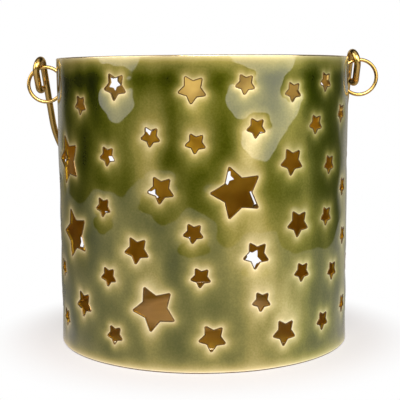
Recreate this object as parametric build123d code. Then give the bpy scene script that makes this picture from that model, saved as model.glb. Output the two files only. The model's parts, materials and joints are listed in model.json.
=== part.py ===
"""Open-topped punched tin lantern: a star-pierced shell on a pressed base pan, with a
wire bail that hangs by its hooks in two split rings near the rim.

Millimetres. +Z is up, and the origin is on the shell's axis in the plane of its foot. The
front faces -Y, and the rings lie on the X axis. The bail is drawn folded down behind the shell.
"""
import os
from math import acos, atan2, cos, degrees, hypot, radians, sin, sqrt

from build123d import *

# Shell, a rolled tin strip with its enamel, its ends lapped and soldered at the back
shell_diameter = 103.0
shell_height = 100.0
sheet_thickness = 0.8
seam_place = 129.0
seam_lap = 5.0

# Base pan, pressed from the same sheet and soldered into the foot of the shell, flange down
pan_thickness = 0.8
pan_floor_height = 8.0
pan_bend_radius = 1.2
pan_solder_gap = 0.05

# Star punches: the circle through the tips, and the waist between two tips as a share of it
small_star = 6.9
medium_star = 9.2
large_star = 15.0
great_star = 16.8
star_waist = 0.55
star_tips = 5

# How far each punch is turned from a star that points straight down
small_star_lean = -6.0
large_star_lean = -10.0
great_star_lean = -18.0

# Star places in one pattern, as degrees round from the front and percent of the height
small_places = [
    (-71, 28), (-68, 11), (-51, 84.5), (-36.5, 68.5), (-39, 52), (-37, 29.5), (-34.5, 10.5),
    (-18.5, 75), (-2.5, 73), (-3.5, 45), (-1, 31), (15, 91), (19, 77.5), (21, 22.5),
    (34, 88.5), (38.5, 30.5), (51.5, 91.5), (45.5, 78), (54.5, 64.5), (52.5, 47.5), (57.5, 28.5),
    (50.5, 12.5), (65.5, 81), (68.5, 56), (69.5, 39), (69.5, 15),
]
medium_places = [
    (-51.5, 18.5), (-32.5, 90.5), (-15, 58.5), (-24.5, 39), (-3.5, 89.5), (3, 11.5), (19, 37.5),
    (33.5, 66.5), (36.5, 46.5), (30.5, 11.5),
]
large_places = [(-18, 20.5)]
great_places = [(-62.5, 66), (-57.5, 41.5), (12, 57.5)]

# The pattern comes again along the strip after this turn, up to the seam on both sides
pattern_turn = 152.0

# Split rings of brass wire, in holes punched by hand, so one pair sits lower than the other
ring_wire = 1.3
ring_diameter = 13.6
ring_split = 0.3
left_ring_below_rim = 9.0
right_ring_below_rim = 7.2
ring_inside_gap = 0.35
ring_hole_clearance = 0.5

# Bail of brass wire, with a long hook at each end whose tip is curled in to the leg
bail_wire = 2.4
bail_leg_length = 26.7
hook_bend_radius = 3.0
hook_toe_out = 17.0
hook_length = 6.2
hook_tip_gap = 0.15
hook_spread = 0.1
bail_side_shift = -2.0
bail_rest_gap = 0.3
wire_end_round = 0.4

# Worked out from the sizes above
shell_radius = shell_diameter / 2
shell_inner_radius = shell_radius - sheet_thickness
ring_radius = (ring_diameter - ring_wire) / 2
ring_x = shell_inner_radius - ring_inside_gap - ring_wire / 2 + ring_radius
hook_x = ring_x + hook_spread


def star_punch(span, lean):
    """Outline of one star, one tip down before it is turned."""
    tip = span / 2
    waist = tip * star_waist
    corners = []
    for i in range(2 * star_tips):
        radius = tip if i % 2 == 0 else waist
        angle = radians(-90 + lean + i * 180 / star_tips)
        corners.append((radius * cos(angle), radius * sin(angle)))
    return make_face(Polyline(*corners, close=True))


def strip_places(places, span):
    """Places of one punch along the whole strip, without the stars that would cut into the seam."""
    room = degrees((span + seam_lap) / 2 / shell_radius)
    first = seam_place - 360 + room
    last = seam_place - room
    along = []
    for copy in (-1, 0, 1):
        for degrees_round, percent_up in places:
            turned = degrees_round + copy * pattern_turn
            if first < turned < last:
                along.append((turned, percent_up))
    return along


def star_cutters():
    """Every star of the strip, as prisms that stand radially in the wall."""
    punches = [
        (small_star, small_star_lean, small_places),
        (medium_star, small_star_lean, medium_places),
        (large_star, large_star_lean, large_places),
        (great_star, great_star_lean, great_places),
    ]
    sag = shell_inner_radius - sqrt(shell_inner_radius**2 - (great_star / 2)**2)
    start = shell_inner_radius - 2 * sag
    depth = sheet_thickness + 4 * sag
    cutters = []
    for span, lean, places in punches:
        prism = extrude(star_punch(span, lean), amount=depth)
        for degrees_round, percent_up in strip_places(places, span):
            height = shell_height * percent_up / 100
            cutters.append(Rot(0, 0, degrees_round) * Pos(0, -start, height) * Rot(90, 0, 0) * prism)
    return cutters


def ring_height(side):
    below_rim = left_ring_below_rim if side < 0 else right_ring_below_rim
    return shell_height - below_rim


def ring_holes():
    """Two holes one above the other on each side, wide enough for the slanting ring wire."""
    inner_edge = ring_radius - ring_wire / 2
    outer_edge = ring_radius + ring_wire / 2
    near = sqrt(inner_edge**2 - (ring_x - shell_inner_radius)**2) - ring_hole_clearance
    far = sqrt(outer_edge**2 - (ring_x - shell_radius)**2) + ring_hole_clearance
    holes = []
    for side in (-1, 1):
        for up in (-1, 1):
            hole = Cylinder((far - near) / 2, 4 * sheet_thickness)
            height = ring_height(side) + up * (far + near) / 2
            holes.append(Pos(side * shell_radius, 0, height) * Rot(0, 90, 0) * hole)
    return holes


def lapped_end():
    """The strip's inner end, which runs on behind the outer one from just above the pan to the rim."""
    foot = pan_floor_height + pan_bend_radius
    inner = shell_inner_radius - sheet_thickness
    outer = shell_inner_radius + sheet_thickness / 2
    section = make_face(Polyline(
        (inner, 0, foot), (outer, 0, foot), (outer, 0, shell_height), (inner, 0, shell_height), close=True,
    ))
    lap_angle = degrees(seam_lap / shell_inner_radius)
    return Rot(0, 0, seam_place - 90 - lap_angle / 2) * revolve(section, Axis.Z, lap_angle)


def shell():
    """Open tube with its lap seam, and every star and ring hole cut through its wall."""
    outside = Cylinder(shell_radius, shell_height, align=(Align.CENTER, Align.CENTER, Align.MIN))
    inside = Cylinder(shell_inner_radius, shell_height, align=(Align.CENTER, Align.CENTER, Align.MIN))
    tube = outside - inside + lapped_end()
    return tube - (star_cutters() + ring_holes())


def base_pan():
    """Flat disc with its flange bent down to the foot, turned from its half section."""
    outer = shell_inner_radius - pan_solder_gap
    inner = outer - pan_thickness
    underside = pan_floor_height - pan_thickness
    section = make_face(Polyline(
        (0, underside), (inner, underside), (inner, 0), (outer, 0),
        (outer, pan_floor_height), (0, pan_floor_height), close=True,
    ))
    outside_bend = section.vertices().sort_by_distance((outer, pan_floor_height, 0))[0]
    section = fillet(outside_bend, pan_bend_radius + pan_thickness)
    inside_bend = section.vertices().sort_by_distance((inner, underside, 0))[0]
    section = fillet(inside_bend, pan_bend_radius)
    return revolve(Rot(90, 0, 0) * section, Axis.Z)


def split_ring(side):
    """One ring, with the gap between its ends on the inside of the shell."""
    gap_angle = degrees(ring_split / ring_radius)
    ring = Torus(ring_radius, ring_wire / 2, major_angle=360 - gap_angle)
    gap_inwards = Rot(0, 0, gap_angle / 2 + (180 if side > 0 else 0))
    return Pos(side * ring_x, 0, ring_height(side)) * Rot(90, 0, 0) * gap_inwards * ring


def hook_place(side):
    """Centre of a hook's bend, on the middle of the ring wire that it hangs on."""
    x = side * hook_x + bail_side_shift
    rise = sqrt(ring_radius**2 - (side * x - ring_x)**2)
    return Vector(x, 0, ring_height(side) + rise)


def bail():
    """The handle wire, drawn upright about its hinge line and then folded back."""
    toe = hook_bend_radius * sin(radians(hook_toe_out))
    half_gap = hook_bend_radius * cos(radians(hook_toe_out))
    leg_x = hook_x - toe
    tip_x = hook_x + toe
    curl_turn = acos((bail_wire + hook_tip_gap) / hook_bend_radius - 1)

    def curl(side, turn):
        """A point on the curl at a hook's tip, turned from the toe over to the leg."""
        x = side * (hook_x + toe * cos(turn))
        return (x, half_gap * cos(turn), hook_length + hook_bend_radius * sin(turn))

    path = (
        ThreePointArc(curl(-1, curl_turn), curl(-1, curl_turn / 2), curl(-1, 0))
        + Line((-tip_x, half_gap, hook_length), (-tip_x, half_gap, 0))
        + ThreePointArc((-tip_x, half_gap, 0), (-hook_x, 0, -hook_bend_radius), (-leg_x, -half_gap, 0))
        + Line((-leg_x, -half_gap, 0), (-leg_x, -half_gap, bail_leg_length))
        + ThreePointArc(
            (-leg_x, -half_gap, bail_leg_length),
            (0, -half_gap, bail_leg_length + leg_x),
            (leg_x, -half_gap, bail_leg_length),
        )
        + Line((leg_x, -half_gap, bail_leg_length), (leg_x, -half_gap, 0))
        + ThreePointArc((leg_x, -half_gap, 0), (hook_x, 0, -hook_bend_radius), (tip_x, half_gap, 0))
        + Line((tip_x, half_gap, 0), (tip_x, half_gap, hook_length))
        + ThreePointArc(curl(1, 0), curl(1, curl_turn / 2), curl(1, curl_turn))
    )
    section = Plane(path @ 0, z_dir=path % 0) * Circle(bail_wire / 2)
    wire = sweep(section, path)
    wire = fillet(wire.faces().filter_by(GeomType.PLANE).edges(), wire_end_round)

    reach = bail_leg_length + leg_x
    stop = shell_radius + bail_wire / 2 + bail_rest_gap
    below_level = degrees(atan2(half_gap, reach) + acos(stop / hypot(reach, half_gap)))
    hinge_line = hook_place(1) - hook_place(-1)
    hinge_middle = (hook_place(1) + hook_place(-1)) / 2
    tilt = degrees(atan2(hinge_line.Z, hinge_line.X))
    print(f"bail hinge at {hinge_middle}, tilted {tilt:.3f} degrees, folded {below_level:.2f} below level")
    return Location(hinge_middle) * Rot(0, -tilt, 0) * Rot(-90 - below_level, 0, 0) * wire


os.makedirs("parts", exist_ok=True)
export_step(shell(), "parts/shell.step")
export_step(base_pan(), "parts/base_pan.step")
export_step(split_ring(-1), "parts/ring_left.step")
export_step(split_ring(1), "parts/ring_right.step")
export_step(bail(), "parts/bail.step")
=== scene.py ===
"""Punched tin lantern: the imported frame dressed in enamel, gold lacquer and brass, on a white table."""
import json
from math import acos, atan2, cos, hypot, pi, radians, sin

import bpy
from mathutils import Matrix, Vector


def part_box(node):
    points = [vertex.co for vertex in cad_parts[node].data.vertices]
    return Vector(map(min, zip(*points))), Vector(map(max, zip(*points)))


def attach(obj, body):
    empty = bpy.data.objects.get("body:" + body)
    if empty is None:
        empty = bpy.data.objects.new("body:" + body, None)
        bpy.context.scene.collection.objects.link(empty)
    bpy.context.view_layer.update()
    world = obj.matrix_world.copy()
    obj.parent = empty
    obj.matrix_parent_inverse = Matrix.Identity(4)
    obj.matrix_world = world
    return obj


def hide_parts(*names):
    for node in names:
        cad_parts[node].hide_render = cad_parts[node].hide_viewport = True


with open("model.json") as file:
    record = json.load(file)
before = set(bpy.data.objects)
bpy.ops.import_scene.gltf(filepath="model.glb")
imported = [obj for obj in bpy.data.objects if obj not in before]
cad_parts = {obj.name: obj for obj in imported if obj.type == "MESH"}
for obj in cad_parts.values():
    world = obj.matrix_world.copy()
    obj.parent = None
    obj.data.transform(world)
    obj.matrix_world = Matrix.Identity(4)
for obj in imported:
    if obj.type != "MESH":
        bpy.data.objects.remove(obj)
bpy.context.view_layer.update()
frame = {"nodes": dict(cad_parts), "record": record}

# The wall of the shell. The real one is a strip of tin plate, punched with stars while it is
# flat, rolled into a tube and soldered along a lap at the back. It is lacquered gold all over
# and enamelled green outside, and the enamel draws away from every cut edge.
shell_low, shell_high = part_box("shell")
wall_radius = (shell_high.x - shell_low.x) / 2
wall_height = shell_high.z - shell_low.z
sheet_thickness = 0.0008
seam_degrees = 129.0
seam_lap = 0.005
degree_of_arc = wall_radius * pi / 180

# Star places in one pattern, as degrees round from the front and percent of the height
small_stars = {"span": 0.0069, "lean": -6.0, "places": [
    (-71, 28), (-68, 11), (-51, 84.5), (-36.5, 68.5), (-39, 52), (-37, 29.5), (-34.5, 10.5),
    (-18.5, 75), (-2.5, 73), (-3.5, 45), (-1, 31), (15, 91), (19, 77.5), (21, 22.5),
    (34, 88.5), (38.5, 30.5), (51.5, 91.5), (45.5, 78), (54.5, 64.5), (52.5, 47.5), (57.5, 28.5),
    (50.5, 12.5), (65.5, 81), (68.5, 56), (69.5, 39), (69.5, 15),
]}
medium_stars = {"span": 0.0092, "lean": -6.0, "places": [
    (-51.5, 18.5), (-32.5, 90.5), (-15, 58.5), (-24.5, 39), (-3.5, 89.5), (3, 11.5), (19, 37.5),
    (33.5, 66.5), (36.5, 46.5), (30.5, 11.5),
]}
large_stars = {"span": 0.015, "lean": -10.0, "places": [(-18, 20.5)]}
great_stars = {"span": 0.0168, "lean": -18.0, "places": [(-62.5, 66), (-57.5, 41.5), (12, 57.5)]}
pattern_turn = 152.0

# Where the enamel gathered, where it stands deepest, where it ran thin and where it is nearly bare,
# in the same degrees and percent
enamel_marks = {
    "pooled": [
        (-60, 90), (-41, 83), (-40, 68), (-53, 56), (-50, 50), (-47, 44), (-22, 92), (-9, 93),
        (2, 95), (-10, 67), (-1, 60), (5, 68), (44, 90), (50, 93), (61, 48), (22, 61), (-20, 40),
        (-10, 30), (-10, 14), (-61, 10), (-48, 7), (-37, 6),
    ],
    "deepened": [(-51, 88), (-43, 91), (-49, 71)],
    "thinned": [(-1, 81), (15.5, 66), (40, 62), (12, 45), (39, 20), (-18, 29), (28, 27), (19, 9)],
    "bared": [
        (-18.5, 81), (-20, 66), (17, 70), (33, 77), (20, 44), (20, 30), (31, 14), (-20, 21),
        (71, 45), (71, 28), (-72, 50),
    ],
}

STAR, RING_HOLE, FIRST_ENAMEL = range(3)
lip_allowance = 1.05
marks = []
for stars in (small_stars, medium_stars, large_stars, great_stars):
    seam_room = (stars["span"] + seam_lap) / 2 / degree_of_arc
    for copy in (-1, 0, 1):
        for place, percent in stars["places"]:
            turned = place + copy * pattern_turn
            if seam_degrees - 360 + seam_room < turned < seam_degrees - seam_room:
                span = stars["span"] * lip_allowance
                marks.append((STAR, turned, percent / 100 * wall_height, span, stars["lean"] - 90))

ring_hole_diameter = 0.0043
ring_hole_from_middle = 0.00358
for ring, side in (("ring_left", -90), ("ring_right", 90)):
    ring_low, ring_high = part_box(ring)
    for step in (-ring_hole_from_middle, ring_hole_from_middle):
        marks.append((RING_HOLE, side, (ring_low.z + ring_high.z) / 2 + step, ring_hole_diameter, 0.0))

for kind, places in enumerate(enamel_marks.values(), FIRST_ENAMEL):
    for place, percent in places:
        for copy in (-1, 0, 1):
            marks.append((kind, place + copy * pattern_turn, percent / 100 * wall_height, 0.0, 0.0))

mark_mesh = bpy.data.meshes.new("punch_marks")
mark_mesh.from_pydata([(place * degree_of_arc, up, 0) for _, place, up, _, _ in marks], [], [])
for name, column in (("kind", 0), ("span", 3), ("turn", 4)):
    stored = mark_mesh.attributes.new(name, "FLOAT", "POINT")
    stored.data.foreach_set("value", [float(mark[column]) for mark in marks])


def add(tree, kind, inputs=None, **settings):
    """Add one node, give it its settings, and fill each named input with a value or a link."""
    made = tree.nodes.new(kind)
    for name, value in settings.items():
        setattr(made, name, value)
    for name, value in (inputs or {}).items():
        if isinstance(value, bpy.types.NodeSocket):
            tree.links.new(value, made.inputs[name])
        else:
            made.inputs[name].default_value = value
    return made


def calc(tree, operation, *values):
    """One sum, as the output of a Math node."""
    return add(tree, "ShaderNodeMath", dict(enumerate(values)), operation=operation).outputs[0]


def ease(tree, value, start, end, low, high):
    """A smooth step from low to high while value goes from start to end."""
    inputs = {"Value": value, "From Min": start, "From Max": end, "To Min": low, "To Max": high}
    return add(tree, "ShaderNodeMapRange", inputs, interpolation_type="SMOOTHSTEP").outputs[0]


def vector(tree, **axes):
    """A vector put together from its X, Y and Z."""
    return add(tree, "ShaderNodeCombineXYZ", axes).outputs[0]


def axes_of(tree, value):
    """The X, Y and Z of a vector."""
    return add(tree, "ShaderNodeSeparateXYZ", {0: value}).outputs


def new_material(name):
    """A material with its shader, ready for its sockets."""
    material = bpy.data.materials.new(name)
    material.use_nodes = True
    tree = material.node_tree
    return material, tree, tree.nodes["Principled BSDF"]


def own_place(tree):
    """The place of a spot on a piece, in the piece's own metres."""
    return tree.nodes.new("ShaderNodeTexCoord").outputs["Object"]


def ramp(tree, value, stops):
    """A colour ramp through (position, colour) stops."""
    made = add(tree, "ShaderNodeValToRGB", {"Fac": value})
    elements = made.color_ramp.elements
    while len(elements) < len(stops):
        elements.new(0.5)
    for element, (position, colour) in zip(elements, stops):
        element.position = position
        element.color = (*colour, 1)
    return made.outputs["Color"]


def noise(tree, scale, stretch=(1, 1, 1), detail=2.0):
    """Even noise in the object's own metres, stretched where a scale is below 1."""
    mapped = add(tree, "ShaderNodeMapping", {"Vector": own_place(tree), "Scale": stretch}).outputs[0]
    inputs = {"Vector": mapped, "Scale": scale, "Detail": detail}
    return add(tree, "ShaderNodeTexNoise", inputs).outputs["Fac"]


# Enamel: its colour goes from the gold beneath, at a bare edge, to deep green where it is thick, and right
# at the edges it is painted near white as a painted highlight.
green_enamel, tree, shader = new_material("green_enamel")
from_edge = add(tree, "ShaderNodeAttribute", attribute_name="from_edge").outputs["Fac"]
enamel_build_up = 1.9
uncovered = calc(tree, "EXPONENT", calc(tree, "DIVIDE", from_edge, -enamel_build_up))
covered = calc(tree, "SUBTRACT", 1.0, uncovered)
cloud_depth = 0.08
clouds = ease(tree, noise(tree, 90, (1, 1, 0.45)), 0.3, 0.7, -cloud_depth, cloud_depth)
spot = axes_of(tree, own_place(tree))
up = spot["Z"]

# The coat is thinner in the lower half, which is painted light from the white table below, and thicker in
# the upper half; it is thickest under the rim, and thin again at the mouth.
painted_light_lower_coat = 0.72
upper_coat = 0.81
extra_under_rim = 0.1
lost_at_mouth = 0.24
coat = calc(tree, "ADD", ease(tree, up, 0.045, 0.065, painted_light_lower_coat, upper_coat), clouds)
coat = calc(tree, "ADD", coat, ease(tree, up, 0.085, 0.092, 0.0, extra_under_rim))
coat = calc(tree, "SUBTRACT", coat, ease(tree, up, 0.0925, 0.0965, 0.0, lost_at_mouth))
for name, thicker in (("pooled", 0.16), ("deepened", 0.26), ("thinned", -0.17), ("bared", -0.34)):
    marked = add(tree, "ShaderNodeAttribute", attribute_name=name).outputs["Fac"]
    coat = calc(tree, "MULTIPLY_ADD", marked, thicker, coat)
speckle_depth = 0.03
speckle = ease(tree, noise(tree, 1600), 0.3, 0.7, -speckle_depth, speckle_depth)
coat = calc(tree, "ADD", coat, speckle)
edge_film = ease(tree, up, 0.035, 0.06, 0.0, 0.08)
thickness = calc(tree, "MULTIPLY_ADD", covered, calc(tree, "SUBTRACT", coat, edge_film), edge_film)
darkest_thickness = 1.25
# The palest stops, where the coat is thinnest at the cut edges, are partly the gold beneath and partly a
# painted highlight along the edges.
enamel_colour = ramp(tree, calc(tree, "DIVIDE", thickness, darkest_thickness), [
    (0.0, (1.0, 0.93, 0.72)), (0.07, (0.86, 0.74, 0.43)), (0.13, (0.69, 0.58, 0.285)),
    (0.288, (0.435, 0.365, 0.13)), (0.416, (0.272, 0.236, 0.057)), (0.528, (0.16, 0.152, 0.028)),
    (0.624, (0.102, 0.103, 0.011)), (0.72, (0.058, 0.065, 0.0025)), (0.82, (0.03, 0.036, 0.001)),
    (1.0, (0.012, 0.016, 0.0004)),
])
greener = ease(tree, spot["X"], 0.015, 0.04, 0.5, 0.528)
enamel_colour = add(tree, "ShaderNodeHueSaturation", {"Hue": greener, "Color": enamel_colour}).outputs[0]
tree.links.new(enamel_colour, shader.inputs["Base Color"])
shader.inputs["Metallic"].default_value = 0.6
shader.inputs["Roughness"].default_value = 0.42
shader.inputs["Specular IOR Level"].default_value = 0.0
shader.inputs["Coat Weight"].default_value = 1.0
shader.inputs["Coat Roughness"].default_value = 0.03
shader.inputs["Coat IOR"].default_value = 1.65

# Gold lacquer: a satin metal film, rougher in patches, painted deeper gold below and paler at the mouth as
# painted light falling in over the rim.
gold_lacquer, tree, shader = new_material("gold_lacquer")
patches = noise(tree, 160)
# Painted light: the lacquer is painted paler towards the mouth, where light falls in over the rim.
mouth = ease(tree, axes_of(tree, own_place(tree))["Z"], 0.07, 0.09, 0.0, 0.5)
gold_colour = ramp(tree, calc(tree, "MULTIPLY_ADD", patches, 0.5, mouth), [
    (0.15, (0.57, 0.34, 0.02)), (0.35, (0.68, 0.42, 0.035)),
    (0.65, (0.47, 0.32, 0.085)), (0.85, (0.57, 0.4, 0.115)),
])
tree.links.new(gold_colour, shader.inputs["Base Color"])
tree.links.new(ease(tree, patches, 0.3, 0.7, 0.3, 0.42), shader.inputs["Roughness"])
shader.inputs["Metallic"].default_value = 0.9
shader.inputs["Coat Weight"].default_value = 0.2
shader.inputs["Coat Roughness"].default_value = 0.25

# Bare lip: the rounded edge at each cut and along the foot, brown gold with no enamel on it, made darker
# still as painted shade on the cut edges and at the foot.
shaded_bare_lip, tree, shader = new_material("shaded_bare_lip")
shaded_lip_colour = ramp(tree, noise(tree, 900), [(0.3, (0.12, 0.07, 0.024)), (0.7, (0.24, 0.155, 0.06))])
tree.links.new(shaded_lip_colour, shader.inputs["Base Color"])
shader.inputs["Metallic"].default_value = 0.75
shader.inputs["Roughness"].default_value = 0.28

# Rim gold: the rounded edge of the mouth, rubbed bright by handling.
rim_gold, tree, shader = new_material("rim_gold")
rim_colour = ramp(tree, noise(tree, 300), [(0.3, (0.7, 0.54, 0.3)), (0.7, (0.95, 0.8, 0.55))])
tree.links.new(rim_colour, shader.inputs["Base Color"])
shader.inputs["Metallic"].default_value = 0.9
shader.inputs["Roughness"].default_value = 0.2


def join(tree, *parts):
    """One geometry from several."""
    joined = tree.nodes.new("GeometryNodeJoinGeometry")
    for part in parts:
        tree.links.new(part, joined.inputs[0])
    return joined.outputs[0]


def attribute(tree, name, kind="FLOAT"):
    """A named attribute of the geometry, as a field."""
    return add(tree, "GeometryNodeInputNamedAttribute", {"Name": name}, data_type=kind).outputs["Attribute"]


def store(tree, geometry, name, value, kind="FLOAT", domain="POINT"):
    """The geometry with a value kept on it as a named attribute."""
    inputs = {"Geometry": geometry, "Name": name, "Value": value}
    return add(tree, "GeometryNodeStoreNamedAttribute", inputs, data_type=kind, domain=domain).outputs[0]


def compare(tree, operation, first, second):
    """Whether the first value is greater or less than the second."""
    return add(tree, "FunctionNodeCompare", {"A": first, "B": second}, operation=operation).outputs[0]


def distance_to(tree, geometry, place, element):
    """How far a place is from the nearest point, edge or face of a geometry."""
    inputs = {"Geometry": geometry, "Sample Position": place}
    return add(tree, "GeometryNodeProximity", inputs, target_element=element).outputs["Distance"]


def moved(tree, value, shift):
    """A vector with a shift added to it."""
    return add(tree, "ShaderNodeVectorMath", {0: value, 1: shift}, operation="ADD").outputs[0]


def scaled(tree, value, factor):
    """A vector made longer or shorter."""
    return add(tree, "ShaderNodeVectorMath", {0: value, "Scale": factor}, operation="SCALE").outputs[0]


def circle(tree, corners, radius):
    """A round outline of so many corners."""
    inputs = {"Resolution": corners, "Radius": radius}
    return add(tree, "GeometryNodeCurvePrimitiveCircle", inputs).outputs["Curve"]


def swept(tree, line, profile, more=None):
    """A mesh drawn along a line with a profile."""
    inputs = {"Curve": line, "Profile Curve": profile} | (more or {})
    return add(tree, "GeometryNodeCurveToMesh", inputs).outputs[0]


def in_material(tree, geometry, material):
    """Plain geometry in its material."""
    plain = add(tree, "GeometryNodeRealizeInstances", {"Geometry": geometry}).outputs[0]
    return add(tree, "GeometryNodeSetMaterial", {"Geometry": plain, "Material": material}).outputs[0]


def new_tree(name, sizes):
    """A geometry tree with one geometry in and out, and a named input for each size."""
    tree = bpy.data.node_groups.new(name, "GeometryNodeTree")
    tree.interface.new_socket("Geometry", in_out="INPUT", socket_type="NodeSocketGeometry")
    for size in sizes:
        tree.interface.new_socket(size, in_out="INPUT", socket_type="NodeSocketFloat")
    tree.interface.new_socket("Geometry", in_out="OUTPUT", socket_type="NodeSocketGeometry")
    return tree, tree.nodes.new("NodeGroupInput").outputs


def grow(name, mesh, tree, sizes):
    """Run a tree on a mesh with these sizes, and keep the result as a plain mesh object."""
    piece = bpy.data.objects.new(name, mesh)
    bpy.context.collection.objects.link(piece)
    modifier = piece.modifiers.new(name, "NODES")
    modifier.node_group = tree
    for socket in tree.interface.items_tree:
        if socket.in_out == "INPUT" and socket.name in sizes:
            modifier[socket.identifier] = sizes[socket.name]
    depsgraph = bpy.context.evaluated_depsgraph_get()
    grown = bpy.data.meshes.new_from_object(
        piece.evaluated_get(depsgraph), preserve_all_data_layers=True, depsgraph=depsgraph)
    if grown.materials[0] is None:
        grown.materials.pop(index=0)
    piece.modifiers.remove(modifier)
    piece.data = grown
    return piece


# The tree cuts the stars in the flat strip, lays a lip round each, dips and waves the sheet by its
# distance from the cuts, sinks it below each star, and then rolls it about the lantern's axis.
wall_sizes = {
    "Radius": wall_radius, "Height": wall_height, "Sheet": sheet_thickness,
    "Seam": seam_degrees * degree_of_arc, "Lip": 0.00017, "Corner": 0.0004, "Waist": 0.55,
    "Dip": 0.0002, "Dip reach": 0.002, "Wave": 0.00022,
    "Run": 0.00026, "Run reach": 0.0045, "Run drop": 0.003,
    "Lap": seam_lap, "Lap foot": 0.0092, "Seam dent": 0.00015, "Seam dent reach": 0.0011,
    "Seam film": 0.0012, "Mark reach": 0.008,
}
points_round = 289
points_up = 91
tree, size = new_tree("punch_and_roll", wall_sizes)
strip = calc(tree, "MULTIPLY", size["Radius"], 2 * pi)
half_strip = calc(tree, "MULTIPLY", strip, 0.5)
half_sheet = calc(tree, "MULTIPLY", size["Sheet"], 0.5)
mid_sheet = calc(tree, "MULTIPLY", size["Sheet"], -0.5)
between_beads = calc(tree, "SUBTRACT", size["Height"], size["Sheet"])
slab = add(tree, "GeometryNodeMeshCube", {
    "Size": vector(tree, X=strip, Y=between_beads, Z=size["Sheet"]),
    "Vertices X": points_round, "Vertices Y": points_up, "Vertices Z": 2}).outputs["Mesh"]
slab_middle = vector(
    tree,
    X=calc(tree, "MULTIPLY_ADD", strip, -0.5, size["Seam"]),
    Y=calc(tree, "MULTIPLY", size["Height"], 0.5),
    Z=mid_sheet,
)
slab = add(tree, "GeometryNodeTransform", {"Geometry": slab, "Translation": slab_middle}).outputs[0]

kind_of_mark = attribute(tree, "kind")


def marks_of(kind):
    """The points of one kind among the marks."""
    inputs = {"A": kind_of_mark, "B": float(kind), "Epsilon": 0.1}
    chosen = add(tree, "FunctionNodeCompare", inputs, operation="EQUAL").outputs[0]
    inputs = {"Geometry": size["Geometry"], "Selection": chosen}
    return add(tree, "GeometryNodeSeparateGeometry", inputs).outputs["Selection"]


def punched(kind, punch):
    """A punch of unit span set down on every mark of a kind, at that mark's span and turn."""
    span = attribute(tree, "span")
    spread = vector(tree, X=span, Y=span, Z=1.0)
    turn = vector(tree, Z=calc(tree, "RADIANS", attribute(tree, "turn")))
    inputs = {"Points": marks_of(kind), "Instance": punch, "Rotation": turn, "Scale": spread}
    placed = add(tree, "GeometryNodeInstanceOnPoints", inputs).outputs[0]
    return add(tree, "GeometryNodeRealizeInstances", {"Geometry": placed}).outputs[0]


def plug(outline):
    """A closed prism on an outline, long enough to go through the sheet."""
    through = 0.004
    weld = 1e-6
    cap = add(tree, "GeometryNodeFillCurve", {"Curve": outline}, mode="NGONS").outputs[0]
    inputs = {"Mesh": cap, "Offset": (0, 0, 1), "Offset Scale": through, "Individual": False}
    sides = add(tree, "GeometryNodeExtrudeMesh", inputs).outputs["Mesh"]
    under = add(tree, "GeometryNodeFlipFaces", {"Mesh": cap}).outputs[0]
    inputs = {"Geometry": join(tree, sides, under), "Distance": weld}
    closed = add(tree, "GeometryNodeMergeByDistance", inputs).outputs[0]
    inputs = {"Geometry": closed, "Translation": (0, 0, -through / 2)}
    return add(tree, "GeometryNodeTransform", inputs).outputs[0]


star = add(tree, "GeometryNodeCurveStar", {
    "Points": 5, "Outer Radius": 0.5,
    "Inner Radius": calc(tree, "MULTIPLY", size["Waist"], 0.5)}).outputs["Curve"]
star_outlines = add(tree, "GeometryNodeFilletCurve", {
    "Curve": punched(STAR, star), "Radius": size["Corner"],
    "Limit Radius": True, "Count": 3}, mode="POLY").outputs[0]
outlines = join(tree, star_outlines, punched(RING_HOLE, circle(tree, 32, 0.5)))
cut = add(tree, "GeometryNodeMeshBoolean", {"Mesh 1": slab}, operation="DIFFERENCE", solver="MANIFOLD")
tree.links.new(plug(outlines), cut.inputs["Mesh 2"])
cut = cut.outputs["Mesh"]

normal = axes_of(tree, tree.nodes.new("GeometryNodeInputNormal").outputs[0])
outwards = compare(tree, "GREATER_THAN", normal["Z"], 0.5)
cut = store(tree, cut, "outside", outwards, "BOOLEAN", "FACE")

# The two ends of the strip are opened, so that they can be welded once it is rolled.
end_tolerance = 1e-5
place = axes_of(tree, tree.nodes.new("GeometryNodeInputPosition").outputs[0])
from_middle = calc(tree, "SUBTRACT", place["X"], axes_of(tree, slab_middle)["X"])
from_middle = calc(tree, "ABSOLUTE", from_middle)
strip_end = calc(tree, "MULTIPLY_ADD", strip, 0.5, -end_tolerance)
at_end = compare(tree, "GREATER_THAN", from_middle, strip_end)
cut = add(tree, "GeometryNodeDeleteGeometry", {
    "Geometry": cut, "Selection": at_end}, domain="FACE", mode="EDGE_FACE").outputs[0]

edge_round = circle(tree, 12, half_sheet)
rim_up = calc(tree, "MULTIPLY_ADD", size["Sheet"], -0.5, size["Height"])
strip_start = calc(tree, "SUBTRACT", size["Seam"], strip)
for name, edge_up in (("lip", half_sheet), ("rim", rim_up)):
    line = add(tree, "GeometryNodeCurvePrimitiveLine", {
        "Start": vector(tree, X=strip_start, Y=edge_up, Z=mid_sheet),
        "End": vector(tree, X=size["Seam"], Y=edge_up, Z=mid_sheet)}).outputs[0]
    line = add(tree, "GeometryNodeResampleCurve", {"Curve": line, "Count": points_round}).outputs[0]
    bead = store(tree, swept(tree, line, edge_round), name, True, "BOOLEAN", "FACE")
    cut = join(tree, cut, bead)
lips = swept(tree, outlines, circle(tree, 6, size["Lip"]))
lips = store(tree, lips, "lip", True, "BOOLEAN", "FACE")

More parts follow.
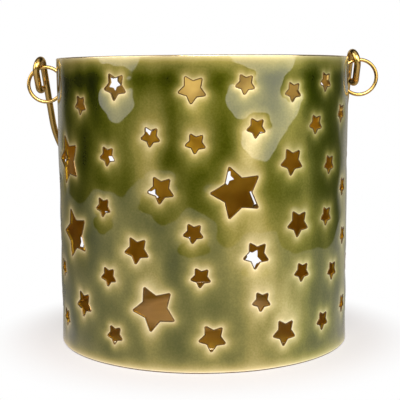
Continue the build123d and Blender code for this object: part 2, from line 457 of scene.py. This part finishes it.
lap_height = calc(tree, "SUBTRACT", size["Height"], size["Lap foot"])
lap = add(tree, "GeometryNodeMeshCube", {
    "Size": vector(tree, X=size["Lap"], Y=lap_height, Z=size["Sheet"]),
    "Vertices X": 6, "Vertices Y": 60, "Vertices Z": 2}).outputs["Mesh"]
lap_middle = vector(
    tree,
    X=size["Seam"],
    Y=calc(tree, "MULTIPLY_ADD", lap_height, 0.5, size["Lap foot"]),
    Z=calc(tree, "MULTIPLY", size["Sheet"], -1.5),
)
lap = add(tree, "GeometryNodeTransform", {"Geometry": lap, "Translation": lap_middle}).outputs[0]
wall = join(tree, cut, lips, lap)

# Distances in the flat strip. The enamel reads the one from the nearest edge in millimetres.
millimetres = 1000.0
on_sheet = vector(tree, X=place["X"], Y=place["Y"])
star_wires = add(tree, "GeometryNodeCurveToMesh", {"Curve": star_outlines}).outputs[0]
from_star = distance_to(tree, star_wires, on_sheet, "EDGES")
from_rim = calc(tree, "SUBTRACT", rim_up, place["Y"])
from_foot = calc(tree, "SUBTRACT", place["Y"], half_sheet)
from_seam = calc(tree, "ABSOLUTE", calc(tree, "SUBTRACT", half_strip, from_middle))
from_edge = calc(tree, "MINIMUM", from_star, calc(tree, "MINIMUM", from_rim, from_foot))
from_edge = calc(tree, "MINIMUM", from_edge, calc(tree, "ADD", from_seam, size["Seam film"]))
wall = store(tree, wall, "from_edge", calc(tree, "MULTIPLY", from_edge, millimetres))
run_squeeze = (1, 0.4, 1)
squeezed = add(tree, "ShaderNodeVectorMath", {0: on_sheet, 1: run_squeeze}, operation="MULTIPLY").outputs[0]
for kind, name in enumerate(enamel_marks, FIRST_ENAMEL):
    inputs = {"Geometry": marks_of(kind), "Scale": run_squeeze}
    spots = add(tree, "GeometryNodeTransform", inputs).outputs[0]
    from_spot = distance_to(tree, spots, squeezed, "POINTS")
    wall = store(tree, wall, name, ease(tree, from_spot, 0.0, size["Mark reach"], 1.0, 0.0))
wall = store(tree, wall, "at_seam", calc(tree, "LESS_THAN", from_seam, end_tolerance), "BOOLEAN")


def fading(distance, depth, reach):
    """A depth that fades with distance."""
    share = calc(tree, "DIVIDE", calc(tree, "MULTIPLY", distance, -1.0), reach)
    return calc(tree, "MULTIPLY", calc(tree, "EXPONENT", share), depth)


star_faces = add(tree, "GeometryNodeFillCurve", {"Curve": star_outlines}, mode="NGONS").outputs[0]
higher = moved(tree, on_sheet, vector(tree, Y=size["Run drop"]))
below_star = distance_to(tree, star_faces, higher, "FACES")
run = fading(below_star, size["Run"], size["Run reach"])
dip = calc(tree, "ADD", fading(from_star, size["Dip"], size["Dip reach"]), run)
dip = calc(tree, "MULTIPLY", dip, ease(tree, from_seam, 0.0, size["Lap"], 0.0, 1.0))

angle = calc(tree, "DIVIDE", place["X"], size["Radius"])
towards = calc(tree, "MULTIPLY", calc(tree, "COSINE", angle), -1.0)
direction = vector(tree, X=calc(tree, "SINE", angle), Y=towards)
rolled = moved(tree, scaled(tree, direction, size["Radius"]), vector(tree, Z=place["Y"]))
ripple_scale = 75.0
ripple = add(tree, "ShaderNodeTexNoise", {
    "Vector": rolled, "Scale": ripple_scale, "Detail": 1.0}).outputs["Fac"]
inward = calc(tree, "MULTIPLY_ADD", calc(tree, "SUBTRACT", ripple, 0.5), size["Wave"], dip)
seam_dent = ease(tree, from_seam, 0.0, size["Seam dent reach"], size["Seam dent"], 0.0)
inward = calc(tree, "ADD", inward, seam_dent)
rolled = moved(tree, rolled, scaled(tree, direction, calc(tree, "SUBTRACT", place["Z"], inward)))
wall = add(tree, "GeometryNodeSetPosition", {"Geometry": wall, "Position": rolled}).outputs[0]
seam_weld = 4e-6
wall = add(tree, "GeometryNodeMergeByDistance", {
    "Geometry": wall, "Selection": attribute(tree, "at_seam", "BOOLEAN"),
    "Distance": seam_weld}).outputs[0]

crease_angle = radians(40)
edge_angle = tree.nodes.new("GeometryNodeInputMeshEdgeAngle").outputs["Unsigned Angle"]
flat_enough = compare(tree, "LESS_THAN", edge_angle, crease_angle)
for domain, smooth in (("FACE", True), ("EDGE", flat_enough)):
    inputs = {"Geometry": wall, "Shade Smooth": smooth}
    wall = add(tree, "GeometryNodeSetShadeSmooth", inputs, domain=domain).outputs[0]
wall = in_material(tree, wall, gold_lacquer)
for name, material in (("outside", green_enamel), ("lip", shaded_bare_lip), ("rim", rim_gold)):
    chosen = attribute(tree, name, "BOOLEAN")
    inputs = {"Geometry": wall, "Selection": chosen, "Material": material}
    wall = add(tree, "GeometryNodeSetMaterial", inputs).outputs[0]
tree.links.new(wall, tree.nodes.new("NodeGroupOutput").inputs[0])

punched_wall = grow("punched_wall", mark_mesh, tree, wall_sizes)
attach(punched_wall, "lantern")
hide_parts("shell")

# The base pan: a disc of the same lacquered tin with its flange turned down, pushed into the
# foot of the shell and soldered there. Its solid has the real shape and keeps it. The lacquer
# is painted pale in the middle of the floor, as painted light, and deep gold towards the wall, as painted
# shade.
pan_gold, tree, shader = new_material("pan_gold")
dulled = noise(tree, 120)
painted_light_radius = 0.019
painted_shade_radius = 0.034
spot = axes_of(tree, own_place(tree))
across_squared = calc(tree, "MULTIPLY", spot["Y"], spot["Y"])
from_axis = calc(tree, "SQRT", calc(tree, "MULTIPLY_ADD", spot["X"], spot["X"], across_squared))
# Painted light and shade: pale where the floor is lit in the middle, darker deep gold in the wall's shade.
painted_wall_shade = ease(tree, from_axis, painted_light_radius, painted_shade_radius, 0.0, 0.6)
pan_colour = ramp(tree, calc(tree, "MULTIPLY_ADD", dulled, 0.3, painted_wall_shade), [
    (0.09, (0.86, 0.65, 0.35)), (0.21, (0.95, 0.75, 0.45)),
    (0.69, (0.36, 0.22, 0.02)), (0.81, (0.42, 0.26, 0.03)),
])
tree.links.new(pan_colour, shader.inputs["Base Color"])
tree.links.new(ease(tree, dulled, 0.3, 0.7, 0.38, 0.5), shader.inputs["Roughness"])
shader.inputs["Metallic"].default_value = 0.4
frame["nodes"]["base_pan"].data.materials.clear()
frame["nodes"]["base_pan"].data.materials.append(pan_gold)

# The solder: a thin uneven line run round the edge of the pan, where it meets the wall inside.
# It holds the pan in the shell, and shows as paler specks in the gold.
solder_metal, tree, shader = new_material("solder_metal")
specks = noise(tree, 1500, detail=3.0)
solder_colour = ramp(tree, specks, [(0.42, (0.42, 0.27, 0.08)), (0.6, (0.8, 0.7, 0.5))])
tree.links.new(solder_colour, shader.inputs["Base Color"])
tree.links.new(ease(tree, specks, 0.4, 0.6, 0.35, 0.22), shader.inputs["Roughness"])
shader.inputs["Metallic"].default_value = 0.9

pan_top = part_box("base_pan")[1].z
solder_off_wall = 0.0003
solder_sunk = 0.0004
solder_sizes = {
    "Circle": wall_radius - sheet_thickness - solder_off_wall, "Height": pan_top - solder_sunk,
    "Thickness": 0.0005, "Run": 0.0004,
}
tree, size = new_tree("solder_run", solder_sizes)
here = tree.nodes.new("GeometryNodeInputPosition").outputs[0]
lumps = add(tree, "ShaderNodeTexNoise", {"Vector": here, "Scale": 420.0, "Detail": 2.0}).outputs["Fac"]
lift = vector(tree, Z=calc(tree, "MULTIPLY_ADD", lumps, size["Run"], size["Height"]))
inputs = {"Geometry": circle(tree, 240, size["Circle"]), "Offset": lift}
ring_line = add(tree, "GeometryNodeSetPosition", inputs).outputs[0]
swelling = ease(tree, lumps, 0.35, 0.65, 0.55, 1.25)
solder = swept(tree, ring_line, circle(tree, 6, size["Thickness"]), {"Scale": swelling})
solder = in_material(tree, solder, solder_metal)
tree.links.new(solder, tree.nodes.new("NodeGroupOutput").inputs[0])
solder_line = grow("solder_line", bpy.data.meshes.new("solder_start"), tree, solder_sizes)
solder_line.data.shade_smooth()
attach(solder_line, "lantern")

# The two split rings and the bail: drawn brass wire, bent cold and lightly polished. The rings
# sit in holes near the rim, and the hooks of the bail hang in them.
brass_wire, tree, shader = new_material("brass_wire")
tarnish = noise(tree, 70)
brass_colour = ramp(tree, tarnish, [(0.3, (0.66, 0.41, 0.11)), (0.7, (0.88, 0.61, 0.22))])
tree.links.new(brass_colour, shader.inputs["Base Color"])
tree.links.new(ease(tree, tarnish, 0.3, 0.7, 0.26, 0.2), shader.inputs["Roughness"])
shader.inputs["Metallic"].default_value = 1.0

# The tree draws a round wire along a path of points, and rounds its two ends.
tree, size = new_tree("draw_wire", ("Wire", "Step", "End round"))
line = add(tree, "GeometryNodeMeshToCurve", {"Mesh": size["Geometry"]}).outputs[0]
inputs = {"Curve": line, "Length": size["Step"]}
line = add(tree, "GeometryNodeResampleCurve", inputs, mode="LENGTH").outputs[0]
along = tree.nodes.new("GeometryNodeSplineParameter").outputs["Length"]
whole = tree.nodes.new("GeometryNodeSplineLength").outputs["Length"]
from_end = calc(tree, "MINIMUM", along, calc(tree, "SUBTRACT", whole, along))
short_of_round = calc(tree, "MAXIMUM", calc(tree, "SUBTRACT", size["End round"], from_end), 0.0)
round_squared = calc(tree, "POWER", size["End round"], 2.0)
squares = calc(tree, "SUBTRACT", round_squared, calc(tree, "POWER", short_of_round, 2.0))
drawn_in = calc(tree, "SUBTRACT", size["End round"], calc(tree, "SQRT", squares))
half_wire = calc(tree, "MULTIPLY", size["Wire"], 0.5)
fullness = calc(tree, "SUBTRACT", 1.0, calc(tree, "DIVIDE", drawn_in, half_wire))
wire = swept(tree, line, circle(tree, 20, half_wire), {"Fill Caps": True, "Scale": fullness})
wire = in_material(tree, wire, brass_wire)
tree.links.new(wire, tree.nodes.new("NodeGroupOutput").inputs[0])
wire_step = 0.0002
wire_crease = radians(50)


def steps(first, last, count):
    """Even steps from first to last, with both ends."""
    return [first + (last - first) * step / count for step in range(count + 1)]


def draw_wire(body, points, wire, end_round):
    """One wire drawn along its points, riding on its body in the place of that body's only node."""
    path_mesh = bpy.data.meshes.new(f"{body}_path")
    path_mesh.from_pydata(points, [(i, i + 1) for i in range(len(points) - 1)], [])
    wire_sizes = {"Wire": wire, "Step": wire_step, "End round": end_round}
    drawn = grow(f"{body}_wire", path_mesh, tree, wire_sizes)
    drawn.data.shade_smooth()
    drawn.data.set_sharp_from_angle(angle=wire_crease)
    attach(drawn, body)
    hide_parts(body)


ring_split = 0.0003
ring_end_round = 0.0001
for ring, inwards in (("ring_left", 0), ("ring_right", pi)):
    ring_low, ring_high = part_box(ring)
    ring_wire = ring_high.y - ring_low.y
    ring_middle = (ring_low + ring_high) / 2
    ring_radius = (ring_high.z - ring_low.z - ring_wire) / 2
    half_split = ring_split / ring_radius / 2
    turns = steps(inwards + half_split, inwards + 2 * pi - half_split, 120)
    ring_path = [ring_middle + ring_radius * Vector((cos(turn), 0, sin(turn))) for turn in turns]
    draw_wire(ring, ring_path, ring_wire, ring_end_round)

# The bail is drawn upright about its hinge line, from the tip of one hook to the other, and folded back.
bail_wire = 0.0024
bail_leg = 0.0267
bend_radius = 0.003
toe_out = radians(17)
hook_length = 0.0062
hook_tip_gap = 0.00015
hook_spread = 0.0001
bail_rest_gap = 0.0003
bail_end_round = 0.0004
right_low, right_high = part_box("ring_right")
hook_x = (right_low.x + right_high.x) / 2 + hook_spread
toe = bend_radius * sin(toe_out)
half_gap = bend_radius * cos(toe_out)
leg_x = hook_x - toe
curl_turn = acos((bail_wire + hook_tip_gap) / bend_radius - 1)
half_bail = [
    (leg_x * sin(turn), -half_gap, bail_leg + leg_x * cos(turn))
    for turn in steps(0, pi / 2, 90)
]
half_bail += [
    (hook_x - toe * cos(turn), -half_gap * cos(turn), -bend_radius * sin(turn))
    for turn in steps(0, pi, 40)
]
half_bail += [
    (hook_x + toe * cos(turn), half_gap * cos(turn), hook_length + bend_radius * sin(turn))
    for turn in steps(0, curl_turn, 40)
]
other_half = [(-x, y, z) for x, y, z in half_bail[:0:-1]]
reach = bail_leg + leg_x
rest_reach = wall_radius + bail_wire / 2 + bail_rest_gap
below_level = atan2(half_gap, reach) + acos(rest_reach / hypot(reach, half_gap))
hinge = next(joint for joint in frame["record"]["behaviour"]["joints"] if joint["name"] == "bail_swing")
tilt = atan2(hinge["axis"][2], hinge["axis"][0])
folded = (Matrix.Translation(hinge["pos_m"]) @ Matrix.Rotation(-tilt, 4, "Y")
          @ Matrix.Rotation(-pi / 2 - below_level, 4, "X"))
bail_path = [folded @ Vector(point) for point in other_half + half_bail]
draw_wire("bail", bail_path, bail_wire, bail_end_round)

# The table: a plain white top that ends in front about below the camera. It shows as white to
# the camera, shows painted shade in reflections, most of all behind and on the left, and keeps the
# lantern's shadow.
table_corners = [(-0.42, -0.43), (0.05, -0.36), (0.25, -0.18), (0.25, 0.6), (-0.42, 0.6)]
table_mesh = bpy.data.meshes.new("table")
table_mesh.from_pydata([(x, y, 0) for x, y in table_corners], [], [range(len(table_corners))])
table = bpy.data.objects.new("table", table_mesh)
bpy.context.collection.objects.link(table)
white_top, tree, shader = new_material("white_top")
shader.inputs["Base Color"].default_value = (0.81, 0.76, 0.8, 1)
shader.inputs["Roughness"].default_value = 0.8
path = tree.nodes.new("ShaderNodeLightPath").outputs
seen = calc(tree, "MAXIMUM", path["Is Glossy Ray"], path["Is Transmission Ray"])
seen = calc(tree, "MAXIMUM", path["Is Camera Ray"], seen)
spot = own_place(tree)
away = add(tree, "ShaderNodeVectorMath", {0: spot}, operation="LENGTH").outputs["Value"]
whiter = calc(tree, "MULTIPLY", seen, ease(tree, away, 0.055, 0.082, 0.52, 1.0))
# Painted shade: in reflections the top is given darker levels for the lantern's shade, darkest behind and
# on the left.
front_level = 0.62
shaded_back_left_level = 0.2
shaded_back_right_level = 0.45
across = axes_of(tree, spot)
in_shade = ease(tree, across["Y"], -0.1, 0.1, 0.0, 1.0)
back_level = ease(tree, across["X"], -0.06, 0.06, shaded_back_left_level, shaded_back_right_level)
less = calc(tree, "SUBTRACT", back_level, front_level)
painted_shade_in_reflections = calc(tree, "MULTIPLY_ADD", in_shade, less, front_level)
painted_shade_in_reflections = add(tree, "ShaderNodeEmission", {"Color": (1, 0.96, 0.89, 1), "Strength": painted_shade_in_reflections}).outputs[0]
plain = add(tree, "ShaderNodeEmission", {"Color": (1, 1, 1, 1), "Strength": 1.0}).outputs[0]
glow = add(tree, "ShaderNodeMixShader", {0: path["Is Camera Ray"], 1: painted_shade_in_reflections, 2: plain}).outputs[0]
mixed = add(tree, "ShaderNodeMixShader", {0: whiter, 1: shader.outputs[0], 2: glow}).outputs[0]
tree.links.new(mixed, tree.nodes["Material Output"].inputs["Surface"])
table_mesh.materials.append(white_top)

# The studio: pale behind the lantern, dark behind the camera, and lit from overhead with a lean to
# the front. A soft box stands on each side, and one above in front.
world = bpy.data.worlds.new("studio")
world.use_nodes = True
bpy.context.scene.world = world
tree = world.node_tree
backdrop = tree.nodes["Background"]
look = axes_of(tree, tree.nodes.new("ShaderNodeTexCoord").outputs["Generated"])
behind = ease(tree, look["Y"], 0.66, 0.86, 0.015, 0.55)
behind = calc(tree, "SUBTRACT", behind, ease(tree, look["Y"], 0.9, 0.99, 0.0, 0.27))
overhead_lean = -0.5
leaned = calc(tree, "MULTIPLY_ADD", look["Y"], overhead_lean, look["Z"])
overhead = ease(tree, leaned, 0.75, 1.1, 0.0, 0.6)
tree.links.new(calc(tree, "MAXIMUM", behind, overhead), backdrop.inputs["Strength"])
backdrop.inputs["Color"].default_value = (1, 0.94, 0.85, 1)
seen = tree.nodes.new("ShaderNodeLightPath").outputs["Is Camera Ray"]
plain = add(tree, "ShaderNodeBackground", {"Color": (1, 1, 1, 1), "Strength": 1.0}).outputs[0]
shown = add(tree, "ShaderNodeMixShader", {0: seen, 1: backdrop.outputs[0], 2: plain}).outputs[0]
tree.links.new(shown, tree.nodes["World Output"].inputs["Surface"])
lamp_colour = (1, 0.955, 0.88)


def soft_box(name, place, aim, width, depth, roll, watts):
    """An oval area lamp turned to a point and rolled about its own axis."""
    lamp = bpy.data.lights.new(name, "AREA")
    lamp.shape = "ELLIPSE"
    lamp.size = width
    lamp.size_y = depth
    lamp.energy = watts
    lamp.color = lamp_colour
    box = bpy.data.objects.new(name, lamp)
    bpy.context.collection.objects.link(box)
    turned = (Vector(aim) - Vector(place)).to_track_quat("-Z", "Y").to_matrix().to_4x4()
    box.matrix_world = Matrix.Translation(place) @ turned @ Matrix.Rotation(radians(roll), 4, "Z")


soft_box("left_soft_box", (-0.544, -0.254, 0.406), (0, 0, 0.406), 0.83, 0.67, 0, 3.0)
soft_box("right_soft_box", (0.362, -0.478, 0.374), (0, 0, 0.374), 1.04, 0.65, -18, 4.4)
soft_box("front_soft_box", (0.0, -0.75, 0.45), (0, 0, 0.05), 0.5, 0.3, 0, 4.2)

# The camera stands where the photograph was taken from, a little below the rim, and looks
# slightly down. Its turns are in radians.
camera_place = (0, -0.3494, 0.09315)
camera_pan = 0.0033
camera_dip = 0.1256
camera_roll = -0.0074
camera_data = bpy.data.cameras.new("photo_view")
camera_data.lens = 87.47
camera_data.sensor_width = 36.0
camera = bpy.data.objects.new("photo_view", camera_data)
bpy.context.collection.objects.link(camera)
camera_turn = (Matrix.Rotation(camera_pan, 4, "Z") @ Matrix.Rotation(pi / 2 - camera_dip, 4, "X")
               @ Matrix.Rotation(camera_roll, 4, "Z"))
camera.matrix_world = Matrix.Translation(camera_place) @ camera_turn
bpy.context.scene.camera = camera
bpy.context.scene.view_settings.view_transform = "Standard"
